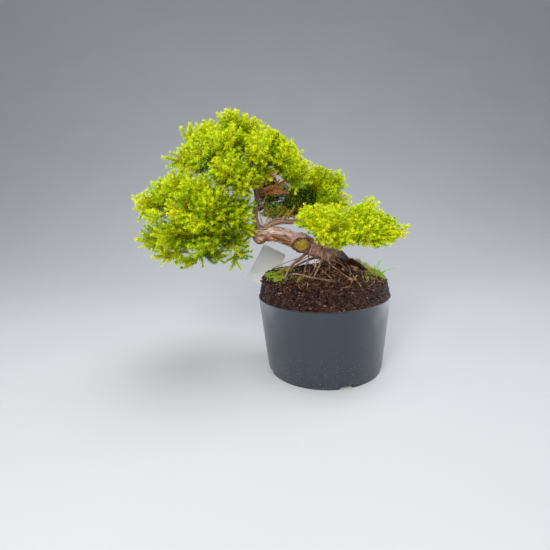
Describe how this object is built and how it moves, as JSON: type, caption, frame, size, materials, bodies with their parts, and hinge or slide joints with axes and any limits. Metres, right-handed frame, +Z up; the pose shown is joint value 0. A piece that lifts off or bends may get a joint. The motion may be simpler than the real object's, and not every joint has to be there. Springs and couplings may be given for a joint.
{
  "type": "japanese garden juniper bonsai",
  "caption": "Needle-clad juniper bonsai with a leaning trunk, a sawn stub and bare surface roots, standing in the root ball of a cut-down plastic nursery pot with a blank plant label.",
  "frame": {"origin": "middle of the pot's underside, on the surface that the pot stands on", "axes": "+Z up; the front of the tree, with the sawn stub, faces -Y; the trunk leans and reaches out towards -X"},
  "size_m": [0.3462, 0.172, 0.3325],
  "materials": {
    "pot_plastic": "satin dark grey-blue moulded plastic, dusty near the foot",
    "soil": "moist dark brown peat and composted bark, crumbly",
    "bark": "matt flaking pinkish brown bark, with olive yellow wood on the sawn stub",
    "needles": "waxy yellow-green living needles, darker inside the crown",
    "dead_needles": "dry orange-brown needles",
    "label_plastic": "thin white plastic, slightly glossy, blank",
    "grass": "soft green grass blades"
  },
  "bodies": {
    "root": {"pot": "pot_plastic", "soil": "soil", "trunk": "bark", "plant_label": "label_plastic", "grass_tuft": "grass", "dead_spray_1": "dead_needles", "dead_spray_2": "dead_needles", "spray_crown_1": "needles", "spray_crown_2": "needles", "spray_crown_3": "needles", "spray_crown_4": "needles", "spray_crown_left_1": "needles", "spray_crown_left_2": "needles", "spray_crown_left_3": "needles", "spray_crown_left_4": "needles", "spray_crown_left_5": "needles", "spray_crown_right_1": "needles", "spray_crown_right_2": "needles", "spray_crown_right_3": "needles", "spray_crown_right_4": "needles", "spray_crown_right_5": "needles", "spray_crown_front_1": "needles", "spray_crown_front_2": "needles", "spray_crown_back_1": "needles", "spray_crown_back_2": "needles", "spray_arm_1": "needles", "spray_left_1": "needles", "spray_left_2": "needles", "spray_left_3": "needles", "spray_left_4": "needles", "spray_left_front_1": "needles", "spray_left_front_2": "needles", "spray_left_front_3": "needles", "spray_left_front_4": "needles", "spray_left_front_5": "needles", "spray_left_low_1": "needles", "spray_left_low_2": "needles", "spray_left_low_3": "needles", "spray_left_low_4": "needles", "spray_left_low_5": "needles", "spray_left_low_6": "needles", "spray_left_back_1": "needles", "spray_left_back_2": "needles", "spray_right_back_1": "needles", "spray_right_back_2": "needles", "spray_right_back_3": "needles", "spray_right_back_4": "needles", "spray_right_back_5": "needles", "spray_right_back_6": "needles", "spray_right_front_1": "needles", "spray_right_front_2": "needles", "spray_right_front_3": "needles", "spray_right_front_4": "needles", "spray_right_1": "needles", "spray_right_2": "needles", "spray_right_3": "needles", "spray_right_4": "needles", "spray_right_5": "needles", "spray_right_6": "needles"}
  },
  "joints": []
}
